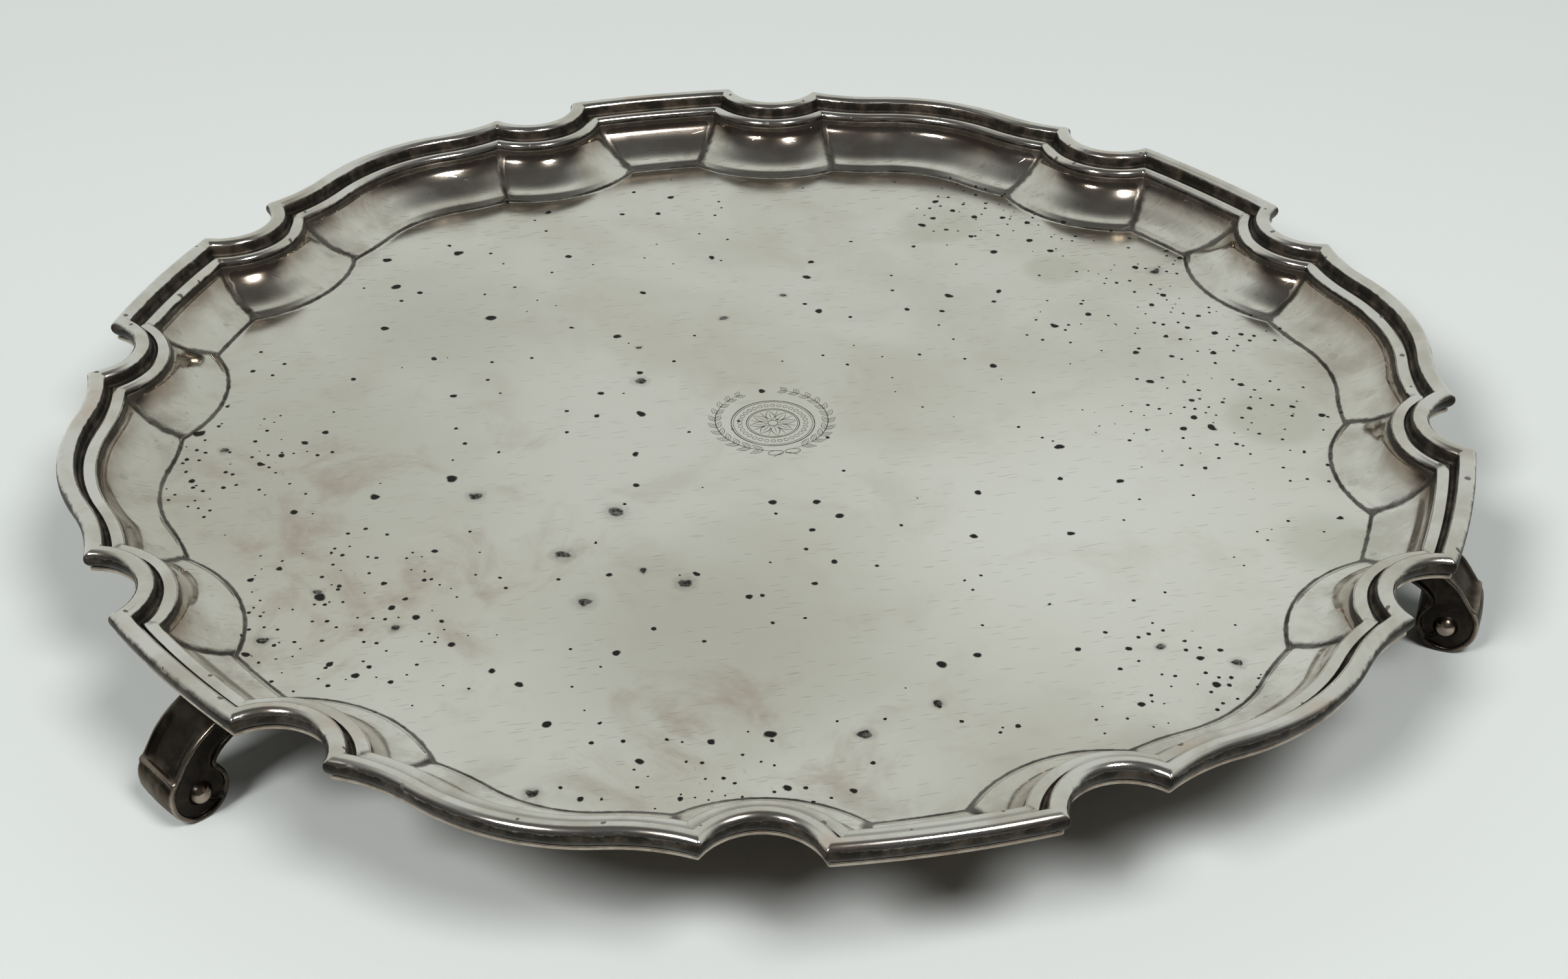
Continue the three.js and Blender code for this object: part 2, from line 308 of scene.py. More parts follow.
# ------------------------------------------------------------------ applied moulding
def moulding_dirt_and_shade(inset, z, gap):
    """Dirt in the groove, along the inner seam and low in the mitres; under the roll tarnish
    together with painted shade.
    """
    groove = float(step01(inset, 2.35, 2.95) * (1 - step01(inset, 4.1, 4.5)))
    # Under the roll: tarnish together with painted shade, darker from the roll's top downwards on
    # its outer side.
    under = float(np.clip((ROLL_TOP - z) / 1.5, 0, 1)) * float(inset < 1.2)
    seam = float(bell(inset, 7.25, 0.3)) * float(z < 9.9)
    mitre = 0.5 * bell(gap, 0.0, 0.8) * float(9.3 < z < 12.0)
    return np.clip(groove + under + seam + mitre, 0, 1)


def build_moulding(index):
    """One length of the strip, from the middle of one straight to the middle of the next."""
    rows, grime = [], []
    for inset, z in np.vstack([smooth_curve(MOULDING, 3), MOULDING_BACK]):
        pts, gap = sector(inset)
        pts = turned(pts, SECTOR_DEG * index + FRONT_DEG)
        rows.append(np.column_stack([pts, np.full(len(pts), z)]))
        grime.append(moulding_dirt_and_shade(inset, z, gap))
    m, n = len(rows), len(rows[0])
    verts, grime = np.vstack(rows), np.concatenate(grime)
    faces = grid_faces(m, n, close_rows=True)
    start, end = np.arange(m) * n, np.arange(m) * n + n - 1
    cap = m * n
    verts = np.vstack([verts, verts[start], verts[end]])
    grime = np.concatenate([grime, grime[start], grime[end]])
    faces.append(tuple(range(cap, cap + m)))
    faces.append(tuple(reversed(range(cap + m, cap + 2 * m))))
    obj = make_object(f"border_moulding_{index + 1}", hand_made(verts), faces, {"grime": grime})
    for poly in list(obj.data.polygons)[-2:]:
        poly.use_smooth = False
    return obj


# ------------------------------------------------------------------ scroll feet
# A foot is made out along +X: how far out, and height. The edge runs round the strap and the toe.
LEG_EDGE = [(140.4, 1.4), (143.3, 0.7), (146.3, -0.7), (149.3, -2.6), (151.8, -5.0),
            (153.8, -7.8), (155.2, -9.9), (156.3, -12.0), (156.5, -14.4), (156.0, -16.8),
            (154.6, -18.9), (152.6, -20.4), (150.3, -20.8), (147.9, -20.3), (145.8, -19.0),
            (144.4, -17.0), (143.8, -14.7), (144.1, -12.4), (145.1, -10.5), (145.9, -9.2),
            (145.4, -7.9), (143.6, -6.2), (141.1, -4.8), (138.2, -3.8), (134.5, -3.0),
            (131.5, -2.5), (131.0, -1.6), (135.0, 0.2)]
HALF_LEG = 6.3                          # half the strap's width
EYE = (150.0, -14.7)                    # middle of the scroll
BALL_R = 2.5
BALL_OUT = 4.9                          # the ball's centre, out to the side
KNEE = (155.35, -9.75)                  # the ridge across the strap
KNEE_R = 0.62
CURL = [(144.9, -15.4), (145.7, -17.0), (147.0, -17.6), (148.2, -16.9)]
CURL_R = 0.42
PAD_MIDDLE = 133.6                      # the pad that fixes the foot under the sheet
PAD_HALF = 8.0
PAD_GAP = 0.04
SOLE_Z = -20.8                          # the toe is worn flat where it stands
FOOT_BOX = ((125, 158.5), (-9.9, 10.0), (-21.6, 6.6))
STRAIGHT_R = 150.0                      # the lip, in the middle of a straight


def polygon_distance(x, z, poly):
    """Signed distance in the plane to a closed polygon, negative inside."""
    p = np.stack([x.ravel(), z.ravel()], 1)
    best = np.full(len(p), 1e9)
    inside = np.zeros(len(p), bool)
    for a, b in zip(poly, np.roll(poly, -1, axis=0)):
        e = b - a
        w = p - a
        t = np.clip(w @ e / (e @ e), 0, 1)
        best = np.minimum(best, np.sum((w - t[:, None] * e) ** 2, axis=1))
        crosses = (a[1] > p[:, 1]) != (b[1] > p[:, 1])
        if a[1] != b[1]:
            at = a[0] + (p[:, 1] - a[1]) * e[0] / (b[1] - a[1])
            inside ^= crosses & (p[:, 0] < at)
    d = np.sqrt(best)
    return np.where(inside, -d, d).reshape(x.shape)


def blend_min(a, b, k):
    """The union of two distance fields, with a fillet of about k."""
    h = np.clip(0.5 + 0.5 * (b - a) / k, 0, 1)
    return b * (1 - h) + a * h - k * h * (1 - h)


def blend_max(a, b, k):
    return -blend_min(-a, -b, k)


def step01(x, lo, hi):
    """0 below lo, 1 above hi, and smooth between."""
    t = np.clip((np.asarray(x, float) - lo) / (hi - lo), 0, 1)
    return t * t * (3 - 2 * t)


def rod(x, y, z, a, b, r):
    """Distance to a round rod from a to b."""
    a, b = np.array(a), np.array(b)
    e = b - a
    t = np.clip(((x - a[0]) * e[0] + (y - a[1]) * e[1] + (z - a[2]) * e[2]) / (e @ e), 0, 1)
    dx, dy, dz = x - a[0] - t * e[0], y - a[1] - t * e[1], z - a[2] - t * e[2]
    return np.sqrt(dx * dx + dy * dy + dz * dz) - r


def tray_underside(x):
    """Height of the tray's lower face above a point x millimetres out, under a straight."""
    line = np.array(UNDER)[::-1]
    return np.interp(x - STRAIGHT_R, -line[:, 0], line[:, 1])


def leg_outline():
    return smooth_curve(LEG_EDGE + [LEG_EDGE[0]], 5)[:-1]


def leg_field(x, y, z):
    """The arched strap and volute: dished front with beaded edges, sunk sides."""
    flat = polygon_distance(x[:, 0, :], z[:, 0, :], leg_outline())
    edge = flat[:, None, :] + 0 * y
    across = np.abs(y)
    front = step01(x - 0.75 * z, 148.0, 153.0) * step01(z, -9.6, -8.6) * step01(x, 141, 144)
    dish = 0.75 * (1 - step01(across, 3.4, 5.6))
    toe = step01(-z, 10.2, 11.2) * (1 - step01(-z, 18.5, 20.5)) * step01(x, 150.5, 154)
    edge = edge + dish * front - 0.3 * toe * (1 - (across / HALF_LEG) ** 2)
    side = across - HALF_LEG
    rounding = 0.55
    body = np.minimum(np.maximum(edge + rounding, side + rounding), 0)
    body = body + np.hypot(np.maximum(edge + rounding, 0), np.maximum(side + rounding, 0))
    body = body - rounding
    inner = flat[:, None, :] + 1.05 + 0.9 * (1 - step01(x, 138.5, 142.0))
    sunk = blend_max(inner, (HALF_LEG - 1.0) - across, 0.35)
    return blend_max(body, -sunk, 0.3)


def knee_ridge(x, across, z):
    """The bead across the knee, which drops a little towards its ends."""
    drop = 0.5 * step01(across, 3.0, HALF_LEG)
    bead = np.hypot(x - KNEE[0] + 0.35 * drop, z - KNEE[1] + drop) - KNEE_R
    return np.maximum(bead, across - HALF_LEG + 0.25)


def fixing_pad(x, across, z, under):
    """The thin pad against the sheet, narrower at both ends."""
    reach = 9.0 - 5.5 * (1 - step01(x, 125.5, 133.0)) - 1.2 * step01(x, 137, 141)
    thick = 1.15 + 0.9 * step01(-across, -8.0, -3.0)
    pad = np.maximum(z - under, under - thick - z)
    pad = blend_max(pad, across - reach, 0.5)
    return blend_max(pad, np.abs(x - PAD_MIDDLE) - PAD_HALF, 0.5)


def foot_field(x, y, z):
    """Distance field of a whole foot, cut off just under the sheet."""
    across = np.abs(y)
    f = blend_min(leg_field(x, y, z), knee_ridge(x, across, z), 0.5)
    ball = np.sqrt((x - EYE[0]) ** 2 + (across - BALL_OUT) ** 2 + (z - EYE[1]) ** 2) - BALL_R
    f = blend_min(f, ball, 0.25)
    for (x0, z0), (x1, z1) in zip(CURL, CURL[1:]):
        f = blend_min(f, rod(x, across, z, (x0, 5.4, z0), (x1, 5.3, z1), CURL_R), 0.3)
    under = tray_underside(x) - PAD_GAP
    f = blend_min(f, fixing_pad(x, across, z, under), 1.6)
    return np.maximum(f, z - under)


def cell_vertices(f, axes):
    """Naive surface nets: one vertex in each cell that the surface passes through."""
    inside = f < 0
    shape = np.array(f.shape) - 1
    total = np.zeros((*shape, 3))
    count = np.zeros(shape)
    base = np.stack(np.meshgrid(*[np.arange(n) for n in shape], indexing="ij"), -1)
    for axis in range(3):
        step = [0, 0, 0]
        step[axis] = 1
        others = [i for i in range(3) if i != axis]
        for u in (0, 1):
            for v in (0, 1):
                lo = [0, 0, 0]
                lo[others[0]], lo[others[1]] = u, v
                hi = [lo[i] + step[i] for i in range(3)]
                a = tuple(slice(lo[i], lo[i] + shape[i]) for i in range(3))
                b = tuple(slice(hi[i], hi[i] + shape[i]) for i in range(3))
                cut = inside[a] != inside[b]
                t = np.where(cut, f[a] / np.where(cut, f[a] - f[b], 1), 0)
                for i in range(3):
                    total[..., i] += cut * (base[..., i] + lo[i] + t * step[i])
                count += cut
    used = count > 0
    place = total[used] / count[used][:, None]
    index = np.full(shape, -1)
    index[used] = np.arange(used.sum())
    verts = np.stack([axes[i][0] + place[:, i] * (axes[i][1] - axes[i][0]) for i in range(3)], 1)
    return verts, index, inside


def net_faces(index, inside):
    """A four-sided face across each grid edge that the surface crosses, facing outwards."""
    faces = []
    n = index.shape
    for axis in range(3):
        u, v = [(1, 2), (2, 0), (0, 1)][axis]
        a = [slice(1, n[i]) for i in range(3)]
        b = list(a)
        a[axis], b[axis] = slice(0, n[axis]), slice(1, n[axis] + 1)
        first, second = inside[tuple(a)], inside[tuple(b)]
        at = np.argwhere(first != second)
        flip = first[tuple(at.T)]
        at = at + 1
        at[:, axis] -= 1
        corner = []
        for du, dv in ((1, 1), (0, 1), (0, 0), (1, 0)):
            q = at.copy()
            q[:, u] -= du
            q[:, v] -= dv
            corner.append(index[tuple(q.T)])
        quad = np.stack(corner, 1)
        quad[~flip] = quad[~flip][:, ::-1]
        faces.append(quad)
    return np.vstack(faces).tolist()


def foot_mesh(step=0.32):
    axes = [np.arange(lo, hi, step) for lo, hi in FOOT_BOX]
    verts, index, inside = cell_vertices(foot_field(*np.meshgrid(*axes, indexing="ij")), axes)
    verts[:, 2] = np.maximum(verts[:, 2], SOLE_Z)
    return verts, net_faces(index, inside)


def foot_masks(v):
    """Where tarnish gathers, and where the high edges are worn bright."""
    edge = polygon_distance(v[:, :1], v[:, 2:], leg_outline())[:, 0]
    across = np.abs(v[:, 1])
    sunk = step01(-edge, 0.9, 1.3) * step01(across, 4.6, 5.0) * (1 - step01(across, 5.9, 6.2))
    dish = step01(v[:, 2], -9.4, -8.4) * (1 - step01(across, 4.4, 5.4)) * step01(v[:, 0], 142, 146)
    ball = np.sqrt((v[:, 0] - EYE[0]) ** 2 + (v[:, 2] - EYE[1]) ** 2)
    on_ball = (1 - step01(ball, 1.4, 2.4)) * step01(across, 6.0, 6.9)
    rim = bell(edge, -0.1, 0.26) * bell(across, 6.0, 0.32) * step01(v[:, 0], 144, 150)
    ridge = bell(np.hypot(v[:, 0] - 155.6, v[:, 2] + 9.5), 0.0, 0.7)
    toe = step01(-v[:, 2], 11, 15) * step01(v[:, 0], 150, 155)
    bright = np.clip(0.8 * on_ball + 0.75 * rim + 0.6 * ridge + 0.3 * toe, 0, 1)
    return np.clip(sunk + 0.55 * dish - on_ball, 0, 1), bright


def build_foot(name, degrees, mesh):
    verts, faces = mesh
    grime, bright = foot_masks(verts)
    placed = np.column_stack([turned(verts[:, :2], degrees), verts[:, 2]])
    return make_object(f"scroll_{name}", placed, faces, {"grime": grime, "worn": bright})


# ------------------------------------------------------------------ engraved rosette
LINE_TOP = 0.02                         # how far a line's strip stands proud of the ground
LINE_FOOT = -0.05                       # how deep its foot is set into the sheet
ROSETTE_AT = np.array([1.8, 3.4])
WREATH_AT = np.array([1.8, 4.8])
WREATH_R = 12.6
BOW_AT = np.array([1.8, -8.6])
TAILS_AT = np.array([1.8, -8.8])
RINGS = ((9.3, 0.24), (8.8, 0.13), (5.9, 0.2), (5.5, 0.12), (1.1, 0.18))    # radius, width
BEADS, BEADS_R, BEAD_R = 32, 7.35, 0.5
PETALS = 8


class Ribbon:
    """Fine engraved lines, drawn as narrow closed strips set into the serving surface."""

    def __init__(self):
        self.verts, self.faces = [], []

    def stroke(self, points, width, closed=False):
        """One line along the points. An open one tapers towards both ends."""
        p = np.asarray(points, float)
        n = len(p)
        d = np.gradient(p, axis=0)
        if closed:
            d = np.roll(p, -1, axis=0) - np.roll(p, 1, axis=0)
        d /= np.maximum(np.linalg.norm(d, axis=1), 1e-9)[:, None]
        side = np.stack([-d[:, 1], d[:, 0]], 1)
        w = np.full(n, width)
        if not closed:
            w = width * (0.25 + 0.75 * np.sin(np.linspace(0, math.pi, n)))
        base = len(self.verts)
        for q, o, h in zip(p, side, w):
            left, right = q + o * h / 2, q - o * h / 2
            self.verts += [(*left, LINE_TOP), (*right, LINE_TOP),
                           (*right, LINE_FOOT), (*left, LINE_FOOT)]
        for i in range(n if closed else n - 1):
            a, b = base + 4 * i, base + 4 * ((i + 1) % n)
            for k in range(4):
                k2 = (k + 1) % 4
                self.faces.append((a + k, a + k2, b + k2, b + k))
        if not closed:
            last = base + 4 * (n - 1)
            self.faces.append((base + 3, base + 2, base + 1, base))
            self.faces.append((last, last + 1, last + 2, last + 3))

    def ring(self, centre, r, width, n=64):
        t = np.linspace(0, 2 * math.pi, n, endpoint=False)
        self.stroke(centre + r * np.stack([np.cos(t), np.sin(t)], 1), width, closed=True)


def direction(angle):
    return np.array([math.cos(angle), math.sin(angle)])


def leaf(ribbon, root, heading, length, fat, width):
    """A laurel leaf: two bowed sides and a midrib."""
    t = np.linspace(0, 1, 9)
    along = direction(heading)
    over = np.array([-along[1], along[0]])
    bow = fat * np.sin(math.pi * t ** 0.8)
    for sign in (-1, 1):
        ribbon.stroke(root + np.outer(t * length, along) + sign * np.outer(bow, over), width)
    ribbon.stroke(root + np.outer(t[:7] * length, along), width * 0.7)


def spray(ribbon, side):
    """One arm of an open wreath, from the bottom round to near the top."""
    t = np.radians(np.linspace(-82, 62, 40))
    stem = np.stack([side * np.cos(t), np.sin(t)], 1) * WREATH_R + WREATH_AT
    ribbon.stroke(stem, 0.22)
    for i, a in enumerate(np.radians(np.linspace(-70, 62, 11))):
        root = WREATH_AT + WREATH_R * direction(a) * [side, 1]
        tangent = math.atan2(math.cos(a), -side * math.sin(a))
        for lean in (-0.55, 0.55):
            leaf(ribbon, root, tangent + lean, 3.3 - 0.1 * i, 0.55, 0.15)


def rosette(ribbon):
    """An eight-fold turned pattern inside a double ring."""
    for r, width in RINGS:
        ribbon.ring(ROSETTE_AT, r, width)
    for k in range(BEADS):
        bead = ROSETTE_AT + BEADS_R * direction(2 * math.pi * k / BEADS)
        ribbon.ring(bead, BEAD_R, 0.11, 14)
    for k in range(PETALS):
        a = 2 * math.pi * k / PETALS
        leaf(ribbon, ROSETTE_AT + 1.3 * direction(a), a, 3.9, 0.95, 0.16)
        between = direction(a + math.pi / PETALS)
        ray = np.linspace(ROSETTE_AT + 2.2 * between, ROSETTE_AT + 5.2 * between, 5)
        ribbon.stroke(ray, 0.13)


def ribbon_bow(ribbon, side):
    """A loop and a tail of the bow that ties the wreath."""
    t = np.linspace(0, math.pi * 2, 22)
    loop = np.stack([side * (1.9 - 1.7 * np.cos(t)), 0.9 * np.sin(t)], 1)
    ribbon.stroke(loop + BOW_AT, 0.16, closed=True)
    tail = np.stack([side * np.linspace(0.2, 2.8, 8), -0.5 * np.linspace(0, 2.1, 8) ** 1.4], 1)
    ribbon.stroke(tail + TAILS_AT, 0.18)


def build_badge():
    ribbon = Ribbon()
    rosette(ribbon)
    for side in (-1, 1):
        spray(ribbon, side)
    for side in (-1, 1):
        ribbon_bow(ribbon, side)
    return make_object("engraved_rosette", hand_made(np.array(ribbon.verts)), ribbon.faces,
                       smooth=False)


# ------------------------------------------------------------------ node helpers
class Nodes:
    """A node tree, and short ways to add nodes to it."""

    def __init__(self, tree):
        self.tree = tree
        tree.nodes.clear()

    def node(self, kind, **settings):
        n = self.tree.nodes.new(kind)
        for key, value in settings.items():
            setattr(n, key, value)
        return n

    def feed(self, socket, value):
        if isinstance(value, bpy.types.NodeSocket):
            self.tree.links.new(value, socket)
        elif value is not None:
            socket.default_value = value

    def math(self, op, a, b=None, c=None, clamp=False):
        n = self.node("ShaderNodeMath", operation=op, use_clamp=clamp)
        for socket, value in zip(n.inputs, (a, b, c)):
            self.feed(socket, value)
        return n.outputs[0]

    def vector(self, op, a, b=None, scale=None):
        n = self.node("ShaderNodeVectorMath", operation=op)
        self.feed(n.inputs[0], a)
        self.feed(n.inputs[1], b)
        if scale is not None:
            n.inputs["Scale"].default_value = scale
        return n.outputs["Value" if op in ("LENGTH", "DISTANCE", "DOT_PRODUCT") else 0]

    def ramp01(self, value, lo, hi, to_lo=0.0, to_hi=1.0):
        n = self.node("ShaderNodeMapRange", interpolation_type="SMOOTHSTEP")
        for key, v in zip(("Value", "From Min", "From Max", "To Min", "To Max"),
                          (value, lo, hi, to_lo, to_hi)):
            self.feed(n.inputs[key], v)
        return n.outputs[0]

    def mix(self, factor, a, b):
        n = self.node("ShaderNodeMix", data_type="RGBA")
        for index, value in ((0, factor), (6, a), (7, b)):
            self.feed(n.inputs[index], value)
        return n.outputs[2]

    def height(self, place):
        n = self.node("ShaderNodeSeparateXYZ")
        self.feed(n.inputs[0], place)
        return n.outputs["Z"]


class Shade(Nodes):
    """A material; self.mm is the place in millimetres in the part's frame.

    Sizes of noise are in millimetres, and each noise has a seed of its own.
    """

    def __init__(self, name, specular=0.2):
        self.mat = bpy.data.materials.new(name)
        self.mat.use_nodes = True
        super().__init__(self.mat.node_tree)
        out = self.node("ShaderNodeOutputMaterial")
        self.bsdf = self.node("ShaderNodeBsdfPrincipled")
        self.tree.links.new(self.bsdf.outputs[0], out.inputs[0])
        self.bsdf.inputs["Specular IOR Level"].default_value = specular
        place = self.node("ShaderNodeTexCoord").outputs["Object"]
        self.mm = self.vector("SCALE", place, scale=1 / MM)

    def mapped(self, place, scale, turn, shift):
        n = self.node("ShaderNodeMapping")
        self.feed(n.inputs["Vector"], place)
        n.inputs["Location"].default_value = shift
        n.inputs["Rotation"].default_value = (0, 0, math.radians(turn))
        n.inputs["Scale"].default_value = scale
        return n.outputs[0]

    def noise(self, size, detail, rough, seed, warp=0.0):
        n = self.node("ShaderNodeTexNoise", noise_dimensions="4D")
        self.feed(n.inputs["Vector"], self.mm)
        for key, v in (("Scale", 1.0 / size), ("Detail", detail), ("Roughness", rough),
                       ("W", seed), ("Distortion", warp)):
            n.inputs[key].default_value = v
        return n.outputs["Fac"]

    def wobble(self, size, amount, seed):
        """The place, shaken by noise, for irregular outlines."""
        n = self.node("ShaderNodeTexNoise", noise_dimensions="4D")
        self.feed(n.inputs["Vector"], self.mm)
        for key, v in (("Scale", 1.0 / size), ("Detail", 2.0), ("W", seed)):
            n.inputs[key].default_value = v
        centred = self.vector("SUBTRACT", n.outputs["Color"], (0.5, 0.5, 0.5))
        return self.vector("ADD", self.mm, self.vector("SCALE", centred, scale=amount))

    def cells(self, source):
        """Distance to the nearest of scattered points, and two random values for that point."""
        n = self.node("ShaderNodeTexVoronoi", voronoi_dimensions="2D", feature="F1")
        self.feed(n.inputs["Vector"], source)
        n.inputs["Scale"].default_value = 1.0
        parts = self.node("ShaderNodeSeparateColor")
        self.feed(parts.inputs[0], n.outputs["Color"])
        return n.outputs["Distance"], parts.outputs[0], parts.outputs[1]

    def attribute(self, name):
        return self.node("ShaderNodeAttribute", attribute_name=name).outputs["Fac"]

    def bump(self, height, distance, strength=1.0, normal=None):
        n = self.node("ShaderNodeBump")
        n.inputs["Strength"].default_value = strength
        n.inputs["Distance"].default_value = distance * MM
        self.feed(n.inputs["Height"], height)
        if normal is not None:
            self.feed(n.inputs["Normal"], normal)
        return n.outputs[0]

    def ragged(self, mask, size, seed):
        """A mask of dirt and painted shade, with uneven, broken edges."""
        torn = self.math("MULTIPLY_ADD", self.noise(size, 4, 0.65, seed), 0.9, -0.45)
        return self.ramp01(self.math("ADD", mask, torn), 0.22, 0.74)

    def dulled(self, grime, spots):
        """Metallic, less where dirt, painted shade or a spot covers the metal."""
        return self.ramp01(self.math("MAXIMUM", grime, spots), 0.75, 1.0, 1.0, 0.7)

    def finish(self, colour, rough, normal, metallic=1.0):
        for key, v in (("Base Color", colour), ("Roughness", rough), ("Normal", normal),
                       ("Metallic", metallic)):
            self.feed(self.bsdf.inputs[key], v)
        return self.mat


def rgb(r, g, b):
    return (r, g, b, 1.0)


# ------------------------------------------------------------------ silver surface marks
# Zones are round patches of the ground: x, y, inner radius where they are full, outer radius.
BUSY_ZONES = [(118, 38, 8, 52), (100, -10, 5, 40), (78, 92, 5, 36), (-118, 12, 4, 34),
              (-96, -52, 8, 44), (-38, -122, 6, 34), (-118, -60, 4, 30), (60, -105, 4, 30)]
CLEAN_ZONE = (62, -50, 10, 85)
TIRED_ZONES = [(-120, 14, 15, 85), (-28, -72, 8, 50), (-70, 62, 5, 45)]
BROWN_ZONES = [(-105, -30, 10, 95), (-30, -105, 5, 60)]
STAIN_ZONES = [(62, 86, 7, 12), (84, 58, 5, 9), (112, -18, 8, 13), (106, -66, 6, 15)]
GROUND_ZONE = (0, 0, 118, 134)
# Single large spots: x, y, radius of the dark heart, width of the halo.
BIG_SPOTS = [(-38, -24, 2.3, 2.6), (-51, -37, 1.9, 2.4), (-49, -54, 1.9, 2.6),
             (-28, -52, 1.8, 2.2), (-66, -12, 1.7, 1.8), (-24, 27, 1.5, 2.0),
             (16, 59, 1.1, 1.0), (0, 51, 1.2, 1.0), (-22, 42, 1.0, 0.8),
             (-87, -55, 1.5, 1.6), (-113, -54, 1.5, 1.4), (-118, 17, 1.3, 1.2),
             (-4, -106, 1.5, 1.6), (12, -100, 1.4, 1.2), (59, -92, 1.2, 1.0),
             (72, -100, 1.5, 1.4), (-67, -110, 1.6, 1.4), (-101, -40, 1.3, 1.0),
             (108, 52, 1.6, 2.2), (-36, -46, 1.0, 0.8)]
# Sets of scratches: length, gap, width as a share of the gap, heading, share of the cells, seed.
SCRATCHES = [(16, 1.1, 0.11, 17, 0.20, 1.0), (24, 1.7, 0.075, -22, 0.18, 2.0),
             (13, 1.0, 0.12, 63, 0.16, 3.0), (30, 2.6, 0.06, 4, 0.16, 4.0),
             (19, 1.5, 0.085, -58, 0.16, 5.0), (44, 4.2, 0.045, 9, 0.16, 6.0),
             (38, 6.0, 0.035, -38, 0.14, 7.0)]


def pits(s, cell, radius, share, seed, where=None):
    """Irregular tarnish spots, one at most per cell, in a share of the cells."""
    shaken = s.wobble(cell * 0.25, cell * 0.16, seed)
    place = s.mapped(shaken, (1 / cell, 1 / cell, 1 / cell), 11 * seed, (seed, 2 * seed, 0))
    distance, pick, size = s.cells(place)
    reach = s.math("MULTIPLY_ADD", size, radius[1] - radius[0], radius[0])
    reach = s.math("DIVIDE", reach, cell)
    limit = share if where is None else s.math("MULTIPLY", where, share)
    chosen = s.math("LESS_THAN", pick, limit)
    ratio = s.math("DIVIDE", distance, reach)
    return s.math("MULTIPLY", s.ramp01(ratio, 0.72, 1.1, 1.0, 0.0), chosen)


def scratches(s, length, gap, width, turn, share, seed):
    """Fine straight scratches in one direction."""
    place = s.mapped(s.mm, (1 / length, 1 / gap, 1), turn, (3.7 * seed, 1.3 * seed, 0))
    distance, pick, _ = s.cells(place)
    chosen = s.math("LESS_THAN", pick, share)
    line = s.ramp01(distance, width * 0.5, width, 1.0, 0.0)
    return s.math("MULTIPLY", line, chosen)


def spot(s, shaken, x, y, radius, soft):
    """One placed mark: a dark heart in a fuzzy halo."""
    flat = s.vector("MULTIPLY", shaken, (1, 1, 0))
    d = s.vector("DISTANCE", flat, (x, y, 0))
    heart = s.ramp01(d, radius * 0.55, radius * 0.95, 1.0, 0.0)
    halo = s.ramp01(d, radius * 0.5, radius + soft * 0.8, 0.3, 0.0)
    return s.math("MAXIMUM", heart, halo)


def strongest(s, parts):
    out = parts[0]
    for p in parts[1:]:
        out = s.math("MAXIMUM", out, p)
    return out


def zone(s, x, y, inner, outer):
    flat = s.vector("MULTIPLY", s.mm, (1, 1, 0))
    return s.ramp01(s.vector("DISTANCE", flat, (x, y, 0)), inner, outer, 1.0, 0.0)


def zones(s, places):
    return strongest(s, [zone(s, *place) for place in places])


def tray_marks(s, busy):
    """Pits of three sizes, most of them where spotting gathers, and the single large spots."""
    some = s.math("MULTIPLY_ADD", busy, 0.85, 0.15)
    ground = s.math("SUBTRACT", 1.0, s.math("MULTIPLY", s.attribute("cove"), 0.85))
    fine = pits(s, 2.6, (0.22, 0.55), 0.34, 3.0, s.math("POWER", some, 1.5))
    small = pits(s, 6.5, (0.4, 0.95), 0.42, 5.0, some)
    few = pits(s, 17.0, (0.8, 1.35), 0.30, 8.0)
    shaken = s.wobble(2.6, 2.4, 12.0)
    placed = strongest(s, [spot(s, shaken, *place) for place in BIG_SPOTS])
    speckled = s.math("MULTIPLY_ADD", s.noise(0.8, 2, 0.6, 14.0), 1.5, 0.15, clamp=True)
    marks = s.math("MULTIPLY", strongest(s, [fine, small, few]), ground)
    return s.math("MAXIMUM", marks, s.math("MULTIPLY", placed, speckled))


# ------------------------------------------------------------------ materials
TRAY = {"bright": rgb(0.80, 0.765, 0.69), "dull": rgb(0.69, 0.645, 0.555),
        "clean": rgb(0.93, 0.90, 0.82), "tired": rgb(0.55, 0.515, 0.43),
        "brown": rgb(0.47, 0.38, 0.30), "stain": rgb(0.50, 0.50, 0.38),
        "margin": rgb(0.36, 0.31, 0.25), "dust": rgb(0.25, 0.21, 0.17),
        "scratch": rgb(0.30, 0.27, 0.23), "streak": rgb(0.40, 0.35, 0.28),
        "wall_tarnish_and_shade": rgb(0.30, 0.235, 0.18), "below": rgb(0.34, 0.25, 0.18),
        "dirt": rgb(0.030, 0.026, 0.020), "pit": rgb(0.012, 0.010, 0.008)}
BORDER = {"bright": rgb(0.78, 0.745, 0.68), "dull": rgb(0.60, 0.55, 0.47),
          "copper": rgb(0.70, 0.47, 0.36), "black": rgb(0.016, 0.014, 0.011),
          "dirt": rgb(0.06, 0.048, 0.036), "pit": rgb(0.03, 0.025, 0.02)}
FOOT = {"brown": rgb(0.07, 0.058, 0.044), "black": rgb(0.014, 0.011, 0.009),
        "worn": rgb(0.50, 0.41, 0.335), "deep": rgb(0.010, 0.008, 0.007),
        "dirt": rgb(0.03, 0.025, 0.02), "speck": rgb(0.09, 0.07, 0.055),
        "glint": rgb(0.62, 0.60, 0.57)}
LINE = {"dark": rgb(0.05, 0.045, 0.036), "rubbed": rgb(0.20, 0.18, 0.15)}
PAPER = {"pale": rgb(0.398, 0.418, 0.406), "paler": rgb(0.415, 0.432, 0.421),
         "glow": rgb(0.94, 1.0, 0.965)}


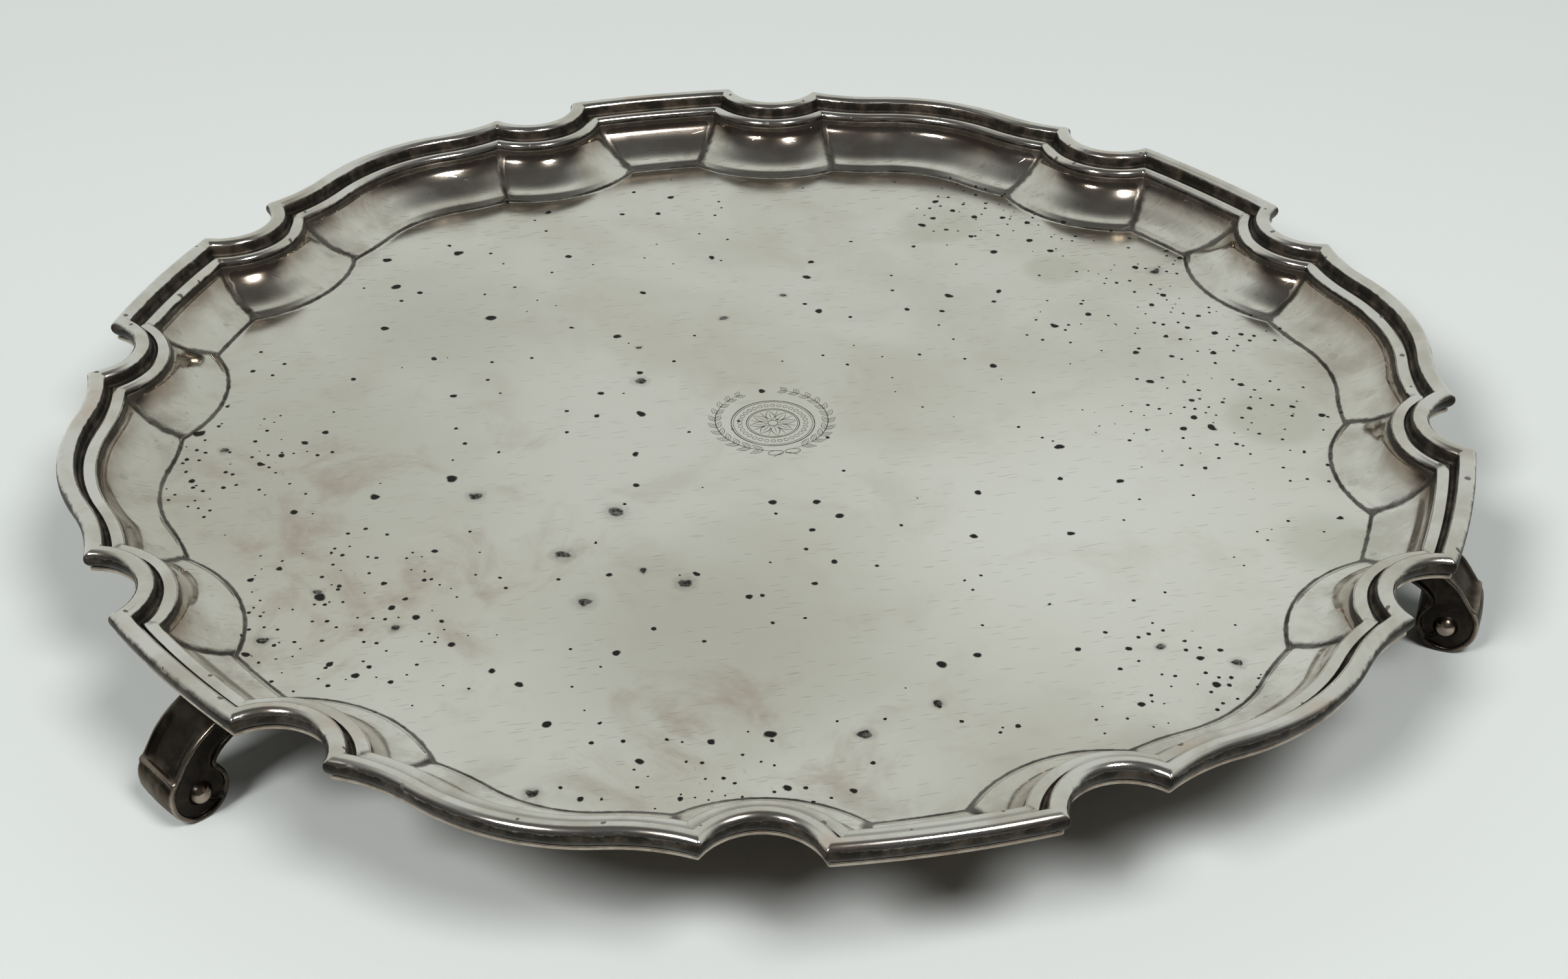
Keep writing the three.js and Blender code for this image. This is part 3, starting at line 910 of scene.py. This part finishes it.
def tray_silver(s, patch):
    """The ground's silver: cleanest at the right, tired and brown at the left and the front."""
    cloud = s.noise(62, 4, 0.55, 21.0, warp=0.4)
    colour = s.mix(s.ramp01(cloud, 0.36, 0.66), TRAY["bright"], TRAY["dull"])
    clean = s.math("MULTIPLY", zone(s, *CLEAN_ZONE), 0.85)
    colour = s.mix(clean, colour, TRAY["clean"])
    tired = s.math("MULTIPLY", zones(s, TIRED_ZONES), 0.55)
    colour = s.mix(tired, colour, TRAY["tired"])
    brown = s.math("MULTIPLY", s.ramp01(patch, 0.48, 0.72), 0.7)
    left = s.math("MULTIPLY_ADD", zones(s, BROWN_ZONES), 0.9, 0.25)
    return s.mix(s.math("MULTIPLY", brown, left), colour, TRAY["brown"])


def tray_wear(s, colour, patch, grain, busy, lines):
    """A few old stains, a darker margin round the ground next to the cove, dust and scratches."""
    stain = s.math("MULTIPLY", zones(s, STAIN_ZONES), 0.35)
    colour = s.mix(stain, colour, TRAY["stain"])
    outside = s.math("ADD", s.math("MULTIPLY", zone(s, *GROUND_ZONE), -1.0), 1.0)
    margin = s.math("MULTIPLY", outside, s.ramp01(patch, 0.40, 0.60))
    colour = s.mix(s.math("MULTIPLY", margin, 0.35), colour, TRAY["margin"])
    dust = s.math("MULTIPLY", s.ramp01(grain, 0.60, 0.78), s.math("MULTIPLY", busy, 0.45))
    colour = s.mix(dust, colour, TRAY["dust"])
    return s.mix(s.math("MULTIPLY", lines, 0.36), colour, TRAY["scratch"])


def cove_tarnish_and_shade(s, colour, soil, cove):
    """Streaks in the cove, its upper wall darkened brown by tarnish and painted shade, and the
    brown underside.
    """
    streak = s.math("MULTIPLY", s.ramp01(soil, 0.46, 0.66), 0.4)
    colour = s.mix(s.math("MULTIPLY", streak, cove), colour, TRAY["streak"])
    # Painted shade with some brown tarnish: the upper cove wall darkened brown.
    wall_tarnish_and_shade = s.math("MULTIPLY", s.ramp01(s.height(s.mm), 2.6, 6.8), cove)
    wall_tarnish_and_shade = s.math("MULTIPLY", wall_tarnish_and_shade, s.ramp01(soil, 0.3, 0.62, 0.45, 0.95))
    colour = s.mix(wall_tarnish_and_shade, colour, TRAY["wall_tarnish_and_shade"])
    below = s.math("MULTIPLY", s.attribute("below"), s.ramp01(soil, 0.3, 0.65, 0.8, 1.0))
    return s.mix(below, colour, TRAY["below"])


def tray_material():
    s = Shade("aged_silver_tray")
    busy = zones(s, BUSY_ZONES)
    marks = tray_marks(s, busy)
    lines = strongest(s, [scratches(s, *p) for p in SCRATCHES])
    patch = s.noise(23, 5, 0.62, 22.0, warp=0.8)
    grain = s.noise(1.5, 3, 0.7, 23.0)
    soil = s.noise(13, 5, 0.65, 25.0, warp=0.6)
    cove = s.attribute("cove")
    colour = tray_wear(s, tray_silver(s, patch), patch, grain, busy, lines)
    colour = cove_tarnish_and_shade(s, colour, soil, cove)
    # Crease, mitre and seam dirt, with painted shade at the top of the cove wall, darkened to near
    # black.
    grime = s.ragged(s.attribute("grime"), 2.4, 26.0)
    grime = s.math("MULTIPLY", grime, s.ramp01(soil, 0.32, 0.6, 0.78, 1.0))
    colour = s.mix(grime, colour, TRAY["dirt"])
    colour = s.mix(marks, colour, TRAY["pit"])
    rough = s.math("MULTIPLY_ADD", cove, -0.03, 0.115)
    rough = s.math("MULTIPLY_ADD", s.ramp01(patch, 0.3, 0.7), 0.05, rough)
    rough = s.math("MAXIMUM", rough, s.math("MULTIPLY", s.math("MAXIMUM", grime, marks), 0.5))
    low = s.bump(s.noise(17, 2, 0.5, 24.0), 0.10, 0.6)
    normal = s.bump(s.math("SUBTRACT", grain, s.math("ADD", marks, lines)), 0.02, 0.35, low)
    return s.finish(colour, rough, normal, s.dulled(grime, marks))


def moulding_material():
    s = Shade("aged_silver_border")
    patch = s.noise(16, 5, 0.6, 31.0, warp=0.6)
    grain = s.noise(1.2, 3, 0.7, 32.0)
    colour = s.mix(s.ramp01(patch, 0.36, 0.68), BORDER["bright"], BORDER["dull"])
    copper = s.math("MULTIPLY", s.ramp01(s.noise(24, 3, 0.6, 33.0), 0.56, 0.70), 0.45)
    colour = s.mix(copper, colour, BORDER["copper"])
    spots = pits(s, 5.0, (0.25, 0.7), 0.22, 6.0)
    uneven = s.math("MULTIPLY_ADD", s.noise(11, 3, 0.6, 37.0), 0.8, -0.48)
    # The grime attribute holds the groove, seam and mitre dirt and the painted shade under the
    # roll.
    mask = s.attribute("grime")
    uneven = s.math("MULTIPLY", uneven, s.ramp01(mask, 0.0, 0.3))
    grime = s.ragged(s.math("ADD", mask, uneven), 2.0, 36.0)
    thin = s.ramp01(s.noise(3.4, 4, 0.6, 35.0), 0.42, 0.66)
    # Paints the dirt, and the painted shade under the roll, black-brown.
    colour = s.mix(grime, colour, s.mix(thin, BORDER["black"], BORDER["dirt"]))
    colour = s.mix(s.math("MULTIPLY", spots, 0.85), colour, BORDER["pit"])
    rough = s.math("MULTIPLY_ADD", s.ramp01(patch, 0.3, 0.7), 0.06, 0.085)
    rough = s.math("MAXIMUM", rough, s.math("MULTIPLY", s.math("MAXIMUM", grime, spots), 0.45))
    low = s.bump(s.noise(9, 2, 0.5, 34.0), 0.06, 0.6)
    normal = s.bump(s.math("SUBTRACT", grain, spots), 0.015, 0.35, low)
    return s.finish(colour, rough, normal, s.dulled(grime, spots))


def foot_material():
    s = Shade("aged_silver_foot")
    patch = s.noise(5.5, 5, 0.65, 41.0, warp=0.8)
    grain = s.noise(0.8, 3, 0.7, 42.0)
    worn = s.attribute("worn")
    colour = s.mix(s.ramp01(patch, 0.35, 0.66), FOOT["brown"], FOOT["black"])
    shine = s.math("MULTIPLY", worn, s.ramp01(patch, 0.25, 0.62, 1.0, 0.65))
    colour = s.mix(shine, colour, FOOT["worn"])
    grime = s.math("MULTIPLY", s.attribute("grime"), 0.92)
    deep = s.mix(s.ramp01(patch, 0.4, 0.65), FOOT["deep"], FOOT["dirt"])
    colour = s.mix(grime, colour, deep)
    speck = s.math("MULTIPLY", s.ramp01(grain, 0.66, 0.74), 0.5)
    colour = s.mix(speck, colour, FOOT["speck"])
    s.bsdf.inputs["Specular Tint"].default_value = FOOT["glint"]
    rough = s.math("MULTIPLY_ADD", s.ramp01(patch, 0.3, 0.7), 0.16, 0.19)
    rough = s.math("MAXIMUM", rough, s.math("MULTIPLY", grime, 0.38))
    normal = s.bump(s.math("ADD", grain, s.math("MULTIPLY", patch, 2.0)), 0.03, 0.5)
    return s.finish(colour, rough, normal, s.math("MULTIPLY_ADD", grime, -0.15, 1.0))


def engraving_material():
    s = Shade("engraved_line_silver")
    wear = s.ramp01(s.noise(3.0, 3, 0.6, 51.0), 0.35, 0.65)
    colour = s.mix(wear, LINE["dark"], LINE["rubbed"])
    rough = s.math("MULTIPLY_ADD", wear, -0.1, 0.5)
    return s.finish(colour, rough, s.bump(s.noise(0.6, 2, 0.5, 52.0), 0.01, 0.4))


GLOW_FROM, GLOW_FULL = 350, 2000        # millimetres from the middle of the salver
GLOW_STRENGTH = 0.52


def paper_material():
    """Pale paper. Far out it glows a little, to stay pale where the lamps no longer reach."""
    s = Shade("pale_paper_floor", specular=0.15)
    colour = s.mix(s.noise(420, 3, 0.5, 61.0), PAPER["pale"], PAPER["paler"])
    grain = s.noise(1.4, 3, 0.6, 62.0)
    s.bsdf.inputs["Emission Color"].default_value = PAPER["glow"]
    glow = s.ramp01(s.vector("LENGTH", s.mm), GLOW_FROM, GLOW_FULL, 0.0, GLOW_STRENGTH)
    s.feed(s.bsdf.inputs["Emission Strength"], glow)
    return s.finish(colour, 0.85, s.bump(grain, 0.05, 0.25), metallic=0.0)


# ------------------------------------------------------------------ surroundings
FLOOR_REACH = 9.0
FLOOR_CELLS = 40
SWEEP_SIDE = (0.207, 0.978, 0.0)        # level, away from the camera
SWEEP_COLOUR = rgb(0.62, 0.66, 0.65)
SHINE_LAMPS = {"right": (0.18, -0.33, 0.62), "left": (-0.385, -0.33, 0.62)}
SHINE_WATTS, SHINE_SIZE = 3.4, 0.13
GLOW_LAMPS = {"right": ((0.214, -0.55, 0.90), 9.2), "left": ((-0.70, -0.60, 0.96), 10.5)}
GLOW_SIZE = 0.42
CAMERA_AT = Vector((-0.0976, -0.4602, 0.3017))
CAMERA_AIM = Vector((-0.0014, -0.0230, 0.0))
CAMERA_LENS, CAMERA_SENSOR = 57.96, 36.0
CAMERA_ROLL_DEG = 0.32


def build_floor():
    xs = np.linspace(-FLOOR_REACH, FLOOR_REACH, FLOOR_CELLS + 1)
    verts = [(x, y, 0.0) for y in xs for x in xs]
    faces = grid_faces(FLOOR_CELLS + 1, FLOOR_CELLS + 1)
    floor = make_object("paper_floor", np.array(verts) / MM, faces)
    floor.location.z = FLOOR_Z
    floor.data.materials.append(paper_material())
    return floor


def build_world():
    """A pale sweep behind the salver, and a dark room above it and behind the camera."""
    world = bpy.data.worlds.new("sweep_and_dark_room")
    bpy.context.scene.world = world
    world.use_nodes = True
    w = Nodes(world.node_tree)
    place = w.node("ShaderNodeTexCoord").outputs["Generated"]
    up = w.height(place)
    behind = w.ramp01(w.vector("DOT_PRODUCT", place, SWEEP_SIDE), -0.25, 0.25)
    low = w.ramp01(up, 0.76, 0.99, 1.0, 0.0)
    grey = w.ramp01(up, 0.40, 0.97, 0.07, 0.10)
    room = w.node("ShaderNodeCombineColor")
    for socket in room.inputs[:3]:
        w.feed(socket, grey)
    colour = w.mix(w.math("MULTIPLY", behind, low), room.outputs[0], SWEEP_COLOUR)
    back = w.node("ShaderNodeBackground")
    w.feed(back.inputs["Color"], colour)
    out = w.node("ShaderNodeOutputWorld")
    w.feed(out.inputs[0], back.outputs[0])


def aim(obj, place, target):
    obj.location = place
    obj.rotation_mode = "QUATERNION"
    obj.rotation_quaternion = (Vector(target) - Vector(place)).to_track_quat("-Z", "Y")


def add_light(name, kind, place, strength, **settings):
    data = bpy.data.lights.new(name, kind)
    data.energy = strength
    for key, value in settings.items():
        setattr(data, key, value)
    light = bpy.data.objects.new(name, data)
    bpy.context.scene.collection.objects.link(light)
    aim(light, place, (0, 0, 0))
    return light


def even_falloff(light):
    """Make a lamp light near and far floor alike, as a big distant window does."""
    light.data.use_nodes = True
    tree = light.data.node_tree
    falloff = tree.nodes.new("ShaderNodeLightFalloff")
    falloff.inputs["Strength"].default_value = 1.0
    tree.links.new(falloff.outputs["Constant"], tree.nodes["Emission"].inputs["Strength"])


def build_lights():
    """Round lamps over the camera's shoulders: a pair that shines in the metal, one that lights."""
    for side, place in SHINE_LAMPS.items():
        shine = add_light(f"lamp_{side}_shine", "AREA", place, SHINE_WATTS, shape="DISK",
                          size=SHINE_SIZE)
        shine.visible_diffuse = False
    for side, (place, watts) in GLOW_LAMPS.items():
        glow = add_light(f"lamp_{side}_glow", "AREA", place, watts, shape="DISK", size=GLOW_SIZE)
        glow.visible_glossy = False
        even_falloff(glow)


def build_camera():
    data = bpy.data.cameras.new("viewpoint")
    data.lens, data.sensor_width = CAMERA_LENS, CAMERA_SENSOR
    data.clip_start, data.clip_end = 0.01, 50.0
    camera = bpy.data.objects.new("viewpoint", data)
    bpy.context.scene.collection.objects.link(camera)
    aim(camera, CAMERA_AT, CAMERA_AIM)
    roll = Matrix.Rotation(math.radians(CAMERA_ROLL_DEG), 4, "Z").to_quaternion()
    camera.rotation_quaternion = camera.rotation_quaternion @ roll
    bpy.context.scene.camera = camera


# ------------------------------------------------------------------ assembly
def put(obj, material, slot, *nodes):
    obj.data.materials.append(material)
    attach(obj, "root")
    if nodes:
        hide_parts(*nodes)


def assemble():
    border, foot = moulding_material(), foot_material()
    put(build_tray(), tray_material(), "tray_silver", "tray_sheet")
    for index in range(LOBES):
        put(build_moulding(index), border, "moulding_silver", f"moulding_{index + 1}")
    mesh = foot_mesh()
    for name, degrees in FOOT_ANGLES.items():
        put(build_foot(name, degrees, mesh), foot, "foot_silver", name)
    put(build_badge(), engraving_material(), "tray_silver")


assemble()
floor = build_floor()
build_world()
build_lights()
build_camera()
view = bpy.context.scene.view_settings
view.view_transform, view.look, view.exposure = "Standard", "None", 0.0
bpy.context.view_layer.update()
